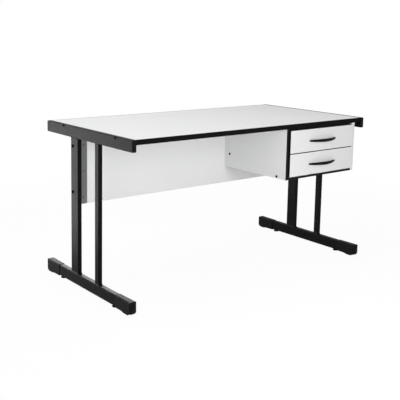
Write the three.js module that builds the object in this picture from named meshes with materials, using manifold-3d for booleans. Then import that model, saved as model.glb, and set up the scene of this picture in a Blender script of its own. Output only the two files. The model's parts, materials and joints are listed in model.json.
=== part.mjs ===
// Writing desk with two drawers under its right end.
// Two steel leg frames carry a laminate worktop between their side rails, a modesty panel braces the
// rear columns, and a small pedestal hangs under the worktop with its drawers on roller runners.
// Millimetres. +X right, +Y to the back, +Z up. The origin is on the floor, at the middle of the
// desk's bounding box. The user sits on the -Y side.

import * as THREE from "three";
import { mergeVertices } from "three/addons/utils/BufferGeometryUtils.js";
import Module from "manifold-3d";

// ---------------------------------------------------------------- driving dimensions

const deskWidth = 1400; // over the outer faces of the side rails
const deskDepth = 700; // a side rail over its two end caps
const deskHeight = 720; // floor to working surface
const seam = 0.3; // clearance between two pieces that seat on each other
const leastInnerRound = 0.4; // corner radius that the inside of a tube keeps

// Side rails, which carry the worktop
const railWidth = 20;
const railHeight = 50;
const railWall = 1.5;
const railCorner = 2.5; // outer corner radius of the tube
const capFlange = 4; // thickness of a rail cap outside its tube
const capPlug = 22; // how far a rail cap reaches into its tube
const capRound = 5; // corner radius of the cap's outer face
const capWall = 2; // wall of the hollow plug
const capPlugRound = 1; // its corner radius
const railScrewBore = 5; // for the screws that hold the worktop
const railScrewFront = 121; // front end of the rail to the first of them
const railScrewRear = 154; // rear end of the rail to the second
const railScrewDrop = 5.5; // top of the rail to the screws

// Columns
const columnWidth = 20;
const columnWall = 1.5;
const columnCorner = 2.5;
const frontColumnDepth = 30;
const rearColumnDepth = 60;
const frontColumnPlace = 250; // front end of the rail to the front column
const rearColumnPlace = 422; // front end of the rail to the rear column

// Foot bars and their moulded shoes
const footWidth = 25;
const footHeight = 50;
const footWall = 1.5;
const footCorner = 3;
const footClearance = 8; // floor to the underside of the bar
const footOverhang = 4; // how far a shoe stands out past the end of the rail
const shoeLength = 115;
const shoeWall = 1.5;
const shoeNose = 7; // solid thickness in front of the tube's end
const shoeCorner = 9; // rounding of the nose, above and at its sides
const shoeFlare = 3; // each side of the nose past the side of the mouth
const noseRise = 20; // height of the rounding under the nose
const noseRun = 28; // tip to where that rounding meets the toe
const toeDepth = 5.5; // how far the toe hangs below the shoe
const toeFlat = 16; // length of the toe's flat sole
const toeRamp = 22; // length of the slope behind it

// Levelling feet
const levellerRadius = 14;
const levellerChamfer = 1;
const levellerPad = 4; // thickness of the pad's rim
const levellerNeck = 9; // radius of the pad's boss
const levellerStem = 4; // radius of the threaded stem
const levellerReach = 34; // stem above the underside of the bar
const levellerPlace = 135; // tip of the shoe to the stem
const levellerPlay = 0.5; // radial play of the stem in the bar

// Worktop
const topThickness = 22;
const topBand = 2; // edge band at the front and at the back

// Modesty panel, its angle brackets and the bolts that hold them to the rear columns
const panelThickness = 18;
const panelDrop = 326; // underside of the worktop to the lower edge of the panel
const panelPlace = 18; // front of the rear column to the front of the panel
const bracketSheet = 2;
const bracketLeg = 36;
const bracketInset = 2; // from the panel's lower edge and from the rail to the bracket
const boltRadius = 3;
const boltPlay = 0.5;
const boltHead = 7;
const boltHeadHeight = 3.4;
const boltTail = 9; // shank past the bracket
const boltPlace = 44; // front of the rear column to the bolts
const boltRise = 53; // lower end of the bracket to the lower bolt
const boltDrop = 35; // upper end of the bracket to the upper bolt

// Pedestal
const pedestalGap = 35; // side rail to the pedestal
const pedestalWidth = 477;
const pedestalToPanel = 33; // back of the pedestal to the front of the modesty panel
const pedestalHeight = 241;
const pedestalSetback = 6; // front of the worktop to the front of the pedestal
const sideBoard = 18;
const floorBoard = 12;
const backBoard = 8;
const stretcherBoard = 18;
const stretcherDepth = 60;
const stretcherGap = 1; // behind the upper drawer front

// Drawers, from the lowest up
const levelNames = ["lower", "upper"];
const frontBoard = 18;
const frontProud = 7; // how far a front stands out of the pedestal
const frontGap = 4.5; // between the fronts
const frontGapBeside = 1.5; // from a front to the pedestal's sides
const frontGapBelow = 2;
const frontGapAbove = 9.5;
const trayBoard = 12;
const trayDrop = 18; // upper edge of a front to the upper edge of its tray
const trayToBack = 20.7; // tray to the back of the pedestal
const trayRound = 2; // fold radius of the tray's rear corners
const trayLift = 12; // lower edge of a front to the lower edge of its tray
const traySheet = 3; // bottom sheet
const traySheetLift = 9; // lower edge of the tray to the bottom sheet
const grooveDepth = 6;

// Roller runners, one pair under each tray
const runnerSpace = 12.7; // pedestal side to tray
const runnerSheet = 1.2;
const channelInner = 20; // clear height of the channel
const channelReach = 9.5; // channel over its web
const channelLip = 2.5;
const rollerRadius = 9;
const rollerWidth = 5;
const rollerBore = 2.4;
const rollerPin = 2;
const rollerChamfer = 0.6;
const pinHeadRadius = 3.2; // riveted head and shoulder of a pin
const pinHead = 1; // thickness of the head
const rollerEndPlace = 13; // end of a runner to its roller
const rollerRun = 0.3; // running clearance of a roller on its track
const trackDrop = 4.5; // top of the channel to the track that runs on the front roller
const lipUnder = 9; // drawer runner's lip under the tray
const trackOverhang = 0.5; // track past the inner face of its roller
const tabLap = 8; // channel along the tab that carries the front roller

// Handles
const handleLength = 176;
const handleReach = 28; // drawer front to the outermost point of the bow
const handleHeight = 15; // bow in the middle
const handleThickness = 9;
const handleTaper = 0.55; // size at the ends over size in the middle
const handleRunIn = 4; // length of bow swept past each landing, where the front cuts it off
const handleDrop = 3; // middle of a front to its handle

// ---------------------------------------------------------------- places worked out from them

const topUnderside = deskHeight - topThickness;
const railUnderside = deskHeight - railHeight;
const railCentreX = (deskWidth - railWidth) / 2;
const railInnerX = deskWidth / 2 - railWidth;
const railFrontY = -deskDepth / 2;
const footTop = footClearance + footHeight;
const columnInnerX = railCentreX - columnWidth / 2;
const topFrontY = railFrontY + capFlange;
const rearColumnY = railFrontY + rearColumnPlace;

const panelFrontY = rearColumnY + panelPlace;

const pedestalFrontY = topFrontY + pedestalSetback;
const pedestalDepth = panelFrontY - pedestalToPanel - pedestalFrontY;
const pedestalRightX = railInnerX - pedestalGap;
const pedestalLeftX = pedestalRightX - pedestalWidth;
const pedestalCentreX = (pedestalLeftX + pedestalRightX) / 2;
const pedestalFloorZ = topUnderside - seam - pedestalHeight;
const pedestalInner = pedestalWidth - 2 * sideBoard;

const frontWidth = pedestalInner - 2 * frontGapBeside;
const frontStack = pedestalHeight + seam - floorBoard - frontGapBelow - frontGapAbove;
const frontHeight = (frontStack - (levelNames.length - 1) * frontGap) / levelNames.length;
const trayWidth = pedestalInner - 2 * runnerSpace;
const frontFaceY = pedestalFrontY - frontProud;
const frontBackY = frontFaceY + frontBoard;
const trayFrontY = frontBackY + seam;
const trayLength = pedestalFrontY + pedestalDepth - backBoard - trayToBack - trayFrontY;
const trayHeight = frontHeight - trayLift - trayDrop;

// The bow handles reach further forward than the shoes reach back, so the desk is moved back by half
// the difference to put the origin in the middle of the bounding box.
const handleFrontY = frontFaceY - seam - handleReach;
const footFrontY = railFrontY - footOverhang;
const footRearY = railFrontY + deskDepth + footOverhang;
const frontmostY = Math.min(handleFrontY, footFrontY);
const deskShiftY = -(frontmostY + footRearY) / 2;

// ---------------------------------------------------------------- materials

function paint(color, roughness, metalness = 0) {
  return { color, roughness, metalness };
}

const finishes = {
  laminate: paint(0xe8e9e6, 0.45),
  edgeBand: paint(0x17181a, 0.5),
  blackSteel: paint(0x1c1d1f, 0.5, 0.3),
  blackPlastic: paint(0x151617, 0.6),
  melamine: paint(0xe4e5e3, 0.5),
  zinc: paint(0x9a9d9f, 0.4, 0.8),
  trayBoard: paint(0xd9dad8, 0.6),
  hardboard: paint(0xcfcdc6, 0.7),
  runnerSteel: paint(0xd8d8d4, 0.4, 0.4),
  nylon: paint(0xf0efe9, 0.4),
};

function piece(name, geometry, finish, x = 0, y = 0, z = 0) {
  const mesh = new THREE.Mesh(geometry, new THREE.MeshStandardMaterial(finishes[finish]));
  mesh.name = name;
  mesh.position.set(x, y, z);
  return mesh;
}

// ---------------------------------------------------------------- solids

const wasm = await Module();
wasm.setup();

function toManifold(geometry) {
  const bare = geometry.clone();
  bare.deleteAttribute("normal");
  bare.deleteAttribute("uv");
  const merged = mergeVertices(bare, 1e-4);
  const vertProperties = Float32Array.from(merged.attributes.position.array);
  const triVerts = Uint32Array.from(merged.index.array);
  return new wasm.Manifold(new wasm.Mesh({ numProp: 3, vertProperties, triVerts }));
}

function toGeometry(manifold) {
  const mesh = manifold.getMesh();
  const geometry = new THREE.BufferGeometry();
  geometry.setAttribute("position", new THREE.BufferAttribute(mesh.vertProperties, 3));
  geometry.setIndex(new THREE.BufferAttribute(mesh.triVerts, 1));
  return geometry;
}

function cut(body, ...tools) {
  let result = toManifold(body);
  for (const tool of tools) result = result.subtract(toManifold(tool));
  return toGeometry(result);
}

function join(...bodies) {
  let result = toManifold(bodies[0]);
  for (const body of bodies.slice(1)) result = result.add(toManifold(body));
  return toGeometry(result);
}

function common(...bodies) {
  let result = toManifold(bodies[0]);
  for (const body of bodies.slice(1)) result = result.intersect(toManifold(body));
  return toGeometry(result);
}

// A box given by its low corner and its sizes
function block(x, y, z, width, depth, height) {
  const box = new THREE.BoxGeometry(width, depth, height);
  return box.translate(x + width / 2, y + depth / 2, z + height / 2);
}

function rod(radius, length, sides = 20) {
  return new THREE.CylinderGeometry(radius, radius, length, sides);
}

// A rod whose axis lies along X, starting at x
function rodX(radius, x, length, y = 0, z = 0, sides = 20) {
  return rod(radius, length, sides).rotateZ(Math.PI / 2).translate(x + length / 2, y, z);
}

// A rod whose axis is upright, starting at z
function rodZ(radius, z, length, x = 0, y = 0, sides = 20) {
  return rod(radius, length, sides).rotateX(Math.PI / 2).translate(x, y, z + length / 2);
}

// A lathe profile of (radius, height) points turned about the upright axis
function turned(points, sides) {
  const profile = points.map(([radius, height]) => new THREE.Vector2(radius, height));
  return new THREE.LatheGeometry(profile, sides).rotateX(Math.PI / 2);
}

function traceRoundedRect(path, width, height, radius) {
  const x = width / 2;
  const y = height / 2;
  path.moveTo(x, radius - y);
  path.lineTo(x, y - radius);
  path.absarc(x - radius, y - radius, radius, 0, Math.PI / 2, false);
  path.lineTo(radius - x, y);
  path.absarc(radius - x, y - radius, radius, Math.PI / 2, Math.PI, false);
  path.lineTo(-x, radius - y);
  path.absarc(radius - x, radius - y, radius, Math.PI, 1.5 * Math.PI, false);
  path.lineTo(x - radius, -y);
  path.absarc(x - radius, radius - y, radius, 1.5 * Math.PI, 2 * Math.PI, false);
  return path;
}

function roundedRect(width, height, radius) {
  return traceRoundedRect(new THREE.Shape(), width, height, radius);
}

function tubeSection(width, height, wall, radius) {
  const section = roundedRect(width, height, radius);
  const inner = Math.max(radius - wall, leastInnerRound);
  section.holes.push(traceRoundedRect(new THREE.Path(), width - 2 * wall, height - 2 * wall, inner));
  return section;
}

function outline(points) {
  return new THREE.Shape(points.map(([a, b]) => new THREE.Vector2(a, b)));
}

function extrude(shape, length, segments = 3) {
  const options = { depth: length, bevelEnabled: false, curveSegments: segments };
  return new THREE.ExtrudeGeometry(shape, options);
}

// An (x, z) section extruded along Y from y
function alongY(shape, y, length, segments) {
  return extrude(shape, length, segments).rotateX(Math.PI / 2).translate(0, y + length, 0);
}

// A (y, z) section extruded along X from x
function alongX(shape, x, length, segments) {
  const turn = new THREE.Matrix4().makeBasis(
    new THREE.Vector3(0, 1, 0),
    new THREE.Vector3(0, 0, 1),
    new THREE.Vector3(1, 0, 0),
  );
  return extrude(shape, length, segments).applyMatrix4(turn).translate(x, 0, 0);
}

// An (x, y) section extruded upwards from z
function alongZ(shape, z, length, segments) {
  return extrude(shape, length, segments).translate(0, 0, z);
}

// The same body seen in a mirror across X = 0, with its faces still pointing out
function mirroredX(geometry) {
  const mirror = (geometry.index ? geometry : mergeVertices(geometry)).clone().scale(-1, 1, 1);
  const index = mirror.index.array;
  for (let i = 0; i < index.length; i += 3) {
    const kept = index[i];
    index[i] = index[i + 1];
    index[i + 1] = kept;
  }
  return mirror;
}

function sided(geometry, side) {
  return side < 0 ? geometry : mirroredX(geometry);
}

// A closed skin through equal rings of points, with a flat fan on each end ring. The rings turn the
// right-hand way about the direction they run in.
function loft(rings) {
  const count = rings[0].length;
  const points = rings.flat();
  const index = [];
  for (let r = 0; r + 1 < rings.length; r += 1) {
    for (let i = 0; i < count; i += 1) {
      const a = r * count + i;
      const b = r * count + ((i + 1) % count);
      index.push(a, b, a + count, b, b + count, a + count);
    }
  }
  const last = (rings.length - 1) * count;
  for (let i = 1; i + 1 < count; i += 1) {
    index.push(0, i + 1, i);
    index.push(last, last + i, last + i + 1);
  }
  const geometry = new THREE.BufferGeometry();
  geometry.setAttribute("position", new THREE.Float32BufferAttribute(points.flat(), 3));
  geometry.setIndex(index);
  return geometry;
}

// ---------------------------------------------------------------- leg frames

const railTubeLength = deskDepth - 2 * capFlange;
const railScrewPlaces = [railScrewFront, deskDepth - railScrewRear];

function railTube() {
  const section = tubeSection(railWidth, railHeight, railWall, railCorner);
  const tube = alongY(section, -railTubeLength / 2, railTubeLength);
  const screwZ = railHeight / 2 - railScrewDrop;
  const bores = railScrewPlaces.map((place) =>
    rodX(railScrewBore / 2, -railWidth, 2 * railWidth, place - deskDepth / 2, screwZ, 16),
  );
  return cut(tube, ...bores);
}

// End cap of a rail: a rounded flange outside and a hollow plug that grips the inside of the tube
function railCap() {
  const flange = alongY(roundedRect(railWidth, railHeight, capRound), -capFlange, capFlange - seam, 5);
  const plugWidth = railWidth - 2 * railWall - 2 * seam;
  const plugHeight = railHeight - 2 * railWall - 2 * seam;
  const plugSection = roundedRect(plugWidth, plugHeight, capPlugRound);
  const plug = alongY(plugSection, -capFlange / 2, capPlug + capFlange / 2, 2);
  const hollow = block(
    capWall - plugWidth / 2,
    seam,
    capWall - plugHeight / 2,
    plugWidth - 2 * capWall,
    capPlug,
    plugHeight - 2 * capWall,
  );
  return join(flange, cut(plug, hollow));
}

function columnTube(depth, boltHeights = []) {
  const bottom = footTop + seam;
  const length = railUnderside - seam - bottom;
  const section = tubeSection(columnWidth, depth, columnWall, columnCorner);
  const tube = alongZ(section, bottom, length);
  const boltY = boltPlace - rearColumnDepth / 2;
  const bores = boltHeights.map((height) =>
    rodX(boltRadius + boltPlay, -columnWidth, 2 * columnWidth, boltY, height, 16),
  );
  return cut(tube, ...bores);
}

const footLength = deskDepth + 2 * footOverhang;
const footTubeLength = footLength - 2 * shoeNose;

function footTube() {
  const section = tubeSection(footWidth, footHeight, footWall, footCorner);
  const tube = alongY(section, -footTubeLength / 2, footTubeLength);
  const stemY = footLength / 2 - levellerPlace;
  const bores = [-stemY, stemY].map((y) =>
    rodZ(levellerStem + levellerPlay, -footHeight, footHeight, 0, y),
  );
  return cut(tube, ...bores);
}

// Moulded shoe that slips over the end of a foot bar, its nose at y = 0 and its mouth at shoeLength.
// Its side, plan and end outlines are cut out of one another, the result is widened towards the nose,
// and the bar's end is hollowed out of it.
function footShoe() {
  const halfWidth = footWidth / 2 + shoeWall + seam;
  const top = footTop + shoeWall + seam;
  const under = footClearance - shoeWall - seam;
  const toe = under - toeDepth;
  const heel = noseRun + toeFlat;
  const side = new THREE.Shape();
  side.moveTo(shoeLength, under);
  side.lineTo(shoeLength, top);
  side.lineTo(shoeCorner, top);
  side.absarc(shoeCorner, top - shoeCorner, shoeCorner, Math.PI / 2, Math.PI, false);
  side.lineTo(0, toe + noseRise);
  side.quadraticCurveTo(noseRun / 4, toe + noseRise / 3, noseRun, toe);
  side.lineTo(heel, toe);
  side.lineTo(heel + toeRamp, under);
  side.closePath();
  const plan = new THREE.Shape();
  plan.moveTo(-halfWidth, shoeLength);
  plan.lineTo(-halfWidth, shoeCorner);
  plan.absarc(shoeCorner - halfWidth, shoeCorner, shoeCorner, Math.PI, 1.5 * Math.PI, false);
  plan.absarc(halfWidth - shoeCorner, shoeCorner, shoeCorner, 1.5 * Math.PI, 2 * Math.PI, false);
  plan.lineTo(halfWidth, shoeLength);
  plan.closePath();
  const end = roundedRect(2 * halfWidth, top - toe, footCorner + shoeWall);
  const body = common(
    alongX(side, -halfWidth, 2 * halfWidth, 6),
    alongZ(plan, toe - seam, top - toe + 2 * seam, 5),
    alongY(end, -seam, shoeLength + 2 * seam, 4).translate(0, 0, (top + toe) / 2),
  );
  const pocket = roundedRect(footWidth + 2 * seam, footHeight + 2 * seam, footCorner + seam);
  const pocketLength = shoeLength - shoeNose + 2 * seam;
  const barEnd = alongY(pocket, shoeNose - seam, pocketLength, 3);
  return cut(flared(body, halfWidth), barEnd.translate(0, 0, footClearance + footHeight / 2));
}

// Widens a shoe evenly from its mouth to its nose
function flared(geometry, halfWidth) {
  const position = geometry.attributes.position;
  for (let i = 0; i < position.count; i += 1) {
    const share = 1 - position.getY(i) / shoeLength;
    position.setX(i, position.getX(i) * (1 + (shoeFlare / halfWidth) * share));
  }
  return geometry;
}

function levellingFoot() {
  const shoulder = footClearance - seam;
  return turned(
    [
      [0, 0],
      [levellerRadius - levellerChamfer, 0],
      [levellerRadius, levellerChamfer],
      [levellerRadius, levellerPad],
      [levellerNeck, shoulder],
      [levellerStem, shoulder],
      [levellerStem, footClearance + levellerReach],
      [0, footClearance + levellerReach],
    ],
    24,
  );
}

const panelTop = topUnderside - seam;
const panelBottom = topUnderside - panelDrop;
const bracketBottom = panelBottom + bracketInset;
const bracketTop = railUnderside - bracketInset;
const boltHeights = [bracketBottom + boltRise, bracketTop - boltDrop];

// Everything welded into one side frame, with its caps, shoes and levelling feet
function legFrame(sideName, side) {
  const frame = new THREE.Group();
  frame.position.x = side * railCentreX;
  const railZ = deskHeight - railHeight / 2;
  frame.add(piece(`${sideName}_top_rail`, railTube(), "blackSteel", 0, 0, railZ));

  const frontColumnY = railFrontY + frontColumnPlace + frontColumnDepth / 2;
  frame.add(
    piece(`${sideName}_front_column`, columnTube(frontColumnDepth), "blackSteel", 0, frontColumnY),
  );
  const rearColumn = columnTube(rearColumnDepth, boltHeights);
  const rearColumnCentreY = rearColumnY + rearColumnDepth / 2;
  frame.add(piece(`${sideName}_rear_column`, rearColumn, "blackSteel", 0, rearColumnCentreY));

  const barZ = footClearance + footHeight / 2;
  frame.add(piece(`${sideName}_foot_bar`, footTube(), "blackSteel", 0, 0, barZ));

  for (const [endName, turn] of [["front", 0], ["rear", Math.PI]]) {
    const end = new THREE.Group();
    end.rotation.z = turn;
    end.add(
      piece(`${sideName}_${endName}_rail_cap`, railCap(), "blackPlastic", 0, -railTubeLength / 2, railZ),
      piece(`${sideName}_${endName}_foot_shoe`, footShoe(), "blackPlastic", 0, -footLength / 2),
      piece(
        `${sideName}_${endName}_levelling_foot`,
        levellingFoot(),
        "blackPlastic",
        0,
        levellerPlace - footLength / 2,
      ),
    );
    frame.add(end);
  }
  return frame;
}

// ---------------------------------------------------------------- worktop and modesty panel

function worktop() {
  const group = new THREE.Group();
  const width = 2 * (railInnerX - seam);
  const depth = railTubeLength;
  const boardDepth = depth - 2 * (topBand + seam);
  const board = block(-width / 2, -boardDepth / 2, topUnderside, width, boardDepth, topThickness);
  group.add(piece("worktop_board", board, "laminate"));
  for (const [name, y] of [["front", -depth / 2], ["back", depth / 2 - topBand]]) {
    const band = block(-width / 2, y, topUnderside, width, topBand, topThickness);
    group.add(piece(`worktop_${name}_edge_band`, band, "edgeBand"));
  }
  return group;
}

// Left bracket: one leg lies on the column, the other on the front of the panel
function panelBracket() {
  const bend = bracketSheet;
  const section = new THREE.Shape();
  section.moveTo(bend, 0);
  section.lineTo(bracketLeg, 0);
  section.lineTo(bracketLeg, bracketSheet);
  section.lineTo(bracketSheet, bracketSheet);
  section.lineTo(bracketSheet, bracketLeg);
  section.lineTo(0, bracketLeg);
  section.lineTo(0, bend);
  section.absarc(bend, bend, bend, Math.PI, 1.5 * Math.PI, false);
  const angle = alongZ(section, bracketBottom, bracketTop - bracketBottom, 4);
  const boltY = boltPlace - panelPlace + bracketSheet + seam;
  const bores = boltHeights.map((height) =>
    rodX(boltRadius + boltPlay, -bracketSheet, 3 * bracketSheet, boltY, height, 16),
  );
  return cut(angle, ...bores);
}

// Domed bolt whose head bears on the outer face of the column, its shank along +X
function panelBolt() {
  const length = columnWidth + 2 * seam + bracketSheet + boltTail;
  const facets = 4;
  const profile = [[0, -boltHeadHeight]];
  for (let i = 1; i <= facets; i += 1) {
    const angle = (Math.PI / 2) * (i / facets);
    profile.push([boltHead * Math.sin(angle), -boltHeadHeight * Math.cos(angle)]);
  }
  profile.push([boltRadius, 0], [boltRadius, length], [0, length]);
  return turned(profile, 16).rotateY(Math.PI / 2);
}

function modestyPanel() {
  const group = new THREE.Group();
  const bracketX = columnInnerX - seam;
  const width = 2 * (bracketX - bracketSheet - seam);
  const height = panelTop - panelBottom;
  const board = block(-width / 2, panelFrontY, panelBottom, width, panelThickness, height);
  group.add(piece("modesty_panel", board, "melamine"));
  const boltX = deskWidth / 2 + seam;
  for (const [name, side] of [["left", -1], ["right", 1]]) {
    const bracket = sided(panelBracket(), side);
    const bracketY = panelFrontY - bracketSheet - seam;
    group.add(piece(`${name}_panel_bracket`, bracket, "zinc", side * bracketX, bracketY));
    for (const [levelName, height] of [["lower", boltHeights[0]], ["upper", boltHeights[1]]]) {
      const bolt = sided(panelBolt(), side);
      const boltY = rearColumnY + boltPlace;
      const boltName = `${name}_${levelName}_panel_bolt`;
      group.add(piece(boltName, bolt, "blackSteel", side * boltX, boltY, height));
    }
  }
  return group;
}

// ---------------------------------------------------------------- pedestal

function pedestal() {
  const group = new THREE.Group();
  const innerX = pedestalLeftX + sideBoard + seam;
  const innerWidth = pedestalInner - 2 * seam;
  const rearY = pedestalFrontY + pedestalDepth;
  const underTop = topUnderside - seam;
  for (const [name, x] of [["left", pedestalLeftX], ["right", pedestalRightX - sideBoard]]) {
    const side = block(x, pedestalFrontY, pedestalFloorZ, sideBoard, pedestalDepth, pedestalHeight);
    group.add(piece(`pedestal_${name}_side`, side, "melamine"));
  }
  const floor = block(innerX, pedestalFrontY, pedestalFloorZ, innerWidth, pedestalDepth, floorBoard);
  group.add(piece("pedestal_floor", floor, "melamine"));
  const backZ = pedestalFloorZ + floorBoard + seam;
  const back = block(innerX, rearY - backBoard, backZ, innerWidth, backBoard, underTop - backZ);
  group.add(piece("pedestal_back", back, "melamine"));
  const stretcherY = frontBackY + stretcherGap;
  const stretcherZ = underTop - stretcherBoard;
  const stretcher = block(
    innerX,
    stretcherY,
    stretcherZ,
    innerWidth,
    stretcherDepth,
    stretcherBoard,
  );
  group.add(piece("pedestal_front_stretcher", stretcher, "melamine"));
  return group;
}

// ---------------------------------------------------------------- roller runners

// Heights of a runner set over the tray's lower edge
const channelFloor = 2; // inside of the channel's lower flange
const channelTop = channelFloor + channelInner;
const trackHeight = channelTop - trackDrop; // underside of the drawer runner's track
const rearRollerHeight = channelFloor + rollerRun + rollerRadius;
const frontRollerHeight = trackHeight - rollerRun - rollerRadius;
const runnerLength = trayLength - seam;
const rollerCut = 2 * rollerEndPlace; // length left free of flanges round a roller
const rollerX = channelReach - channelLip / 2 - rollerWidth; // pedestal side to the roller

// Left cabinet runner: a channel with a turned-up lip on a web that ends in a tab with the front
// roller's pin. Its web lies on x = 0 and its front end on y = 0.
function cabinetRunner() {
  const low = channelFloor - runnerSheet;
  const high = channelTop + runnerSheet;
  const channel = outline([
    [0, low],
    [channelReach, low],
    [channelReach, channelFloor + channelLip],
    [channelReach - runnerSheet, channelFloor + channelLip],
    [channelReach - runnerSheet, channelFloor],
    [runnerSheet, channelFloor],
    [runnerSheet, channelTop],
    [channelReach, channelTop],
    [channelReach, high],
    [0, high],
  ]);
  const profile = alongY(channel, rollerCut, runnerLength - rollerCut);
  const tabLow = frontRollerHeight - rollerRadius;
  const tab = block(0, 0, tabLow, runnerSheet, rollerCut + tabLap, high - tabLow);
  const pinLength = rollerX + rollerWidth + seam - runnerSheet / 2;
  const pin = rodX(rollerPin, runnerSheet / 2, pinLength, rollerEndPlace, frontRollerHeight, 12);
  const headX = rollerX + rollerWidth + seam;
  const head = rodX(pinHeadRadius, headX, pinHead, rollerEndPlace, frontRollerHeight, 12);
  return join(profile, tab, pin, head);
}

// Left drawer runner: a lip under the tray, a web on its side, and a track that reaches into the
// channel. The rear roller turns on a pin behind the end of the track.
function drawerRunner() {
  const inner = runnerSpace - seam;
  const outer = inner - runnerSheet;
  const webTop = trackHeight + runnerSheet;
  const web = block(outer, 0, -runnerSheet - seam, runnerSheet, runnerLength, webTop + runnerSheet + seam);
  const lip = block(outer, 0, -runnerSheet - seam, runnerSheet + seam + lipUnder, runnerLength, runnerSheet);
  const trackX = rollerX - trackOverhang;
  const track = block(trackX, 0, trackHeight, inner - trackX, runnerLength - rollerCut, runnerSheet);
  const pinY = runnerLength - rollerEndPlace;
  const headX = rollerX - seam - pinHead;
  const pin = rodX(rollerPin, headX, outer - headX + runnerSheet / 2, pinY, rearRollerHeight, 12);
  const head = rodX(pinHeadRadius, headX, pinHead, pinY, rearRollerHeight, 12);
  const bossX = rollerX + rollerWidth + seam;
  const bossLength = outer - bossX + runnerSheet / 2;
  const boss = rodX(pinHeadRadius, bossX, bossLength, pinY, rearRollerHeight, 12);
  return join(web, lip, track, pin, head, boss);
}

// Nylon roller on an axis along X, its inner face at x = 0
function roller() {
  const edge = rollerRadius - rollerChamfer;
  const wheel = turned(
    [
      [rollerBore, 0],
      [edge, 0],
      [rollerRadius, rollerChamfer],
      [rollerRadius, rollerWidth - rollerChamfer],
      [edge, rollerWidth],
      [rollerBore, rollerWidth],
      [rollerBore, 0],
    ],
    28,
  );
  return wheel.rotateY(Math.PI / 2);
}

// ---------------------------------------------------------------- drawers

// Sides and back of a tray, folded from one board, with a groove for the bottom sheet
function trayFrame() {
  const half = trayWidth / 2;
  const inside = half - trayBoard;
  const plan = new THREE.Shape();
  plan.moveTo(-half, 0);
  plan.lineTo(-inside, 0);
  plan.lineTo(-inside, trayLength - trayBoard);
  plan.lineTo(inside, trayLength - trayBoard);
  plan.lineTo(inside, 0);
  plan.lineTo(half, 0);
  plan.lineTo(half, trayLength - trayRound);
  plan.absarc(half - trayRound, trayLength - trayRound, trayRound, 0, Math.PI / 2, false);
  plan.lineTo(trayRound - half, trayLength);
  plan.absarc(trayRound - half, trayLength - trayRound, trayRound, Math.PI / 2, Math.PI, false);
  plan.closePath();
  const groove = block(
    -inside - grooveDepth - seam,
    -seam,
    traySheetLift,
    2 * (inside + grooveDepth + seam),
    trayLength - trayBoard + grooveDepth + 2 * seam,
    traySheet + 2 * seam,
  );
  return cut(alongZ(plan, 0, trayHeight, 3), groove);
}

function trayBottom() {
  const width = trayWidth - 2 * trayBoard + 2 * grooveDepth;
  const length = trayLength - trayBoard + grooveDepth + grooveDepth;
  return block(-width / 2, -grooveDepth, traySheetLift + seam, width, length, traySheet);
}

// Front board with the groove that takes the front edge of the bottom sheet
function drawerFront() {
  const board = block(-frontWidth / 2, 0, 0, frontWidth, frontBoard, frontHeight);
  const grooveWidth = trayWidth - 2 * trayBoard + 2 * (grooveDepth + seam);
  const depth = grooveDepth + seam;
  const low = trayLift + traySheetLift;
  const height = traySheet + 2 * seam;
  const groove = block(-grooveWidth / 2, frontBoard - depth, low, grooveWidth, depth + seam, height);
  return cut(board, groove);
}

// Bow handle: an oval bar swept along an arc, thick in the middle and thin where it lands
function bowHandle() {
  const half = handleLength / 2;
  const middle = handleReach - handleThickness / 2;
  const radius = (half * half + middle * middle) / (2 * middle);
  const sweep = Math.asin((half + handleRunIn) / radius);
  const steps = 24;
  const sides = 14;
  const rings = [];
  for (let s = 0; s <= steps; s += 1) {
    const angle = sweep * ((2 * s) / steps - 1);
    const fullness = Math.cos((angle / sweep) * (Math.PI / 2));
    const size = handleTaper + (1 - handleTaper) * fullness;
    const x = radius * Math.sin(angle);
    const y = -(middle - radius * (1 - Math.cos(angle)));
    const ring = [];
    for (let i = 0; i < sides; i += 1) {
      const turn = (-2 * Math.PI * i) / sides;
      const out = ((Math.cos(turn) * handleThickness) / 2) * size;
      const up = ((Math.sin(turn) * handleHeight) / 2) * size;
      ring.push([x + out * Math.sin(angle), y - out * Math.cos(angle), up]);
    }
    rings.push(ring);
  }
  const bow = loft(rings);
  const behind = block(-handleLength, 0, -handleHeight, 2 * handleLength, handleReach, 2 * handleHeight);
  return cut(bow, behind);
}

function drawer(name, level) {
  const group = new THREE.Group();
  const frontZ = pedestalFloorZ + floorBoard + frontGapBelow + level * (frontHeight + frontGap);
  const trayZ = frontZ + trayLift;
  const handleZ = frontZ + frontHeight / 2 - handleDrop;
  const boards = [
    piece(`${name}_drawer_front`, drawerFront(), "melamine", pedestalCentreX, frontFaceY, frontZ),
    piece(`${name}_drawer_tray`, trayFrame(), "trayBoard", pedestalCentreX, trayFrontY, trayZ),
    piece(`${name}_drawer_bottom`, trayBottom(), "hardboard", pedestalCentreX, trayFrontY, trayZ),
  ];
  group.add(...boards);
  const handleY = frontFaceY - seam;
  group.add(piece(`${name}_drawer_handle`, bowHandle(), "blackPlastic", pedestalCentreX, handleY, handleZ));

  for (const [sideName, side] of [["left", -1], ["right", 1]]) {
    const wallX = pedestalCentreX + (side * pedestalInner) / 2;
    const faceX = wallX - side * seam;
    const parts = [
      ["cabinet_runner", cabinetRunner(), "runnerSteel", faceX, 0, 0],
      ["drawer_runner", drawerRunner(), "runnerSteel", wallX, 0, 0],
      ["front_roller", roller(), "nylon", faceX - side * rollerX, rollerEndPlace, frontRollerHeight],
      [
        "rear_roller",
        roller(),
        "nylon",
        wallX - side * rollerX,
        runnerLength - rollerEndPlace,
        rearRollerHeight,
      ],
    ];
    for (const [part, geometry, finish, x, y, z] of parts) {
      const partName = `${name}_${sideName}_${part}`;
      group.add(piece(partName, sided(geometry, side), finish, x, trayFrontY + y, trayZ + z));
    }
  }
  return group;
}

// ---------------------------------------------------------------- the desk

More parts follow.
